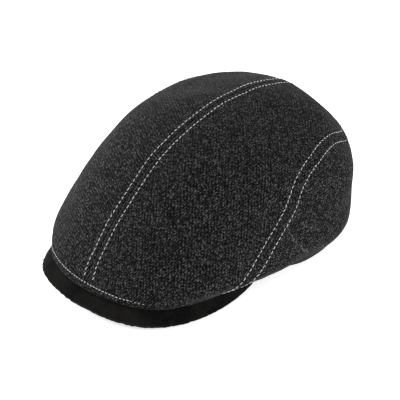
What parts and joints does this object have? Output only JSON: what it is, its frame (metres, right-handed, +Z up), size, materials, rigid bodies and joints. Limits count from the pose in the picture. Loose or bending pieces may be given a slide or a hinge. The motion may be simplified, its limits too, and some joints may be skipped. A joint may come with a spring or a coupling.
{
  "type": "earflap cap",
  "caption": "Duckbill cap of dark wool cloth with a short curved suede peak, twin-stitched seams and an ear flap folded up inside the back.",
  "frame": {"origin": "on the table under the middle of the cap's overall length and width", "axes": "+Z up; the peak points to -Y and the back of the cap to +Y; the wearer's left is +X"},
  "size_m": [0.2106, 0.2688, 0.1148],
  "materials": {
    "wool_tweed": "matte salt-and-pepper wool cloth, near-black ground with light grey flecks",
    "peak_suede": "matte black suede with a slightly fuzzy edge",
    "flap_fleece": "matte black fleece",
    "seam_thread": "off-white sewing thread"
  },
  "bodies": {
    "root": {"crown_top_left": "wool_tweed", "crown_top_right": "wool_tweed", "crown_side_left": "wool_tweed", "crown_side_right": "wool_tweed", "peak": "peak_suede", "ear_flap": "flap_fleece"}
  },
  "joints": []
}
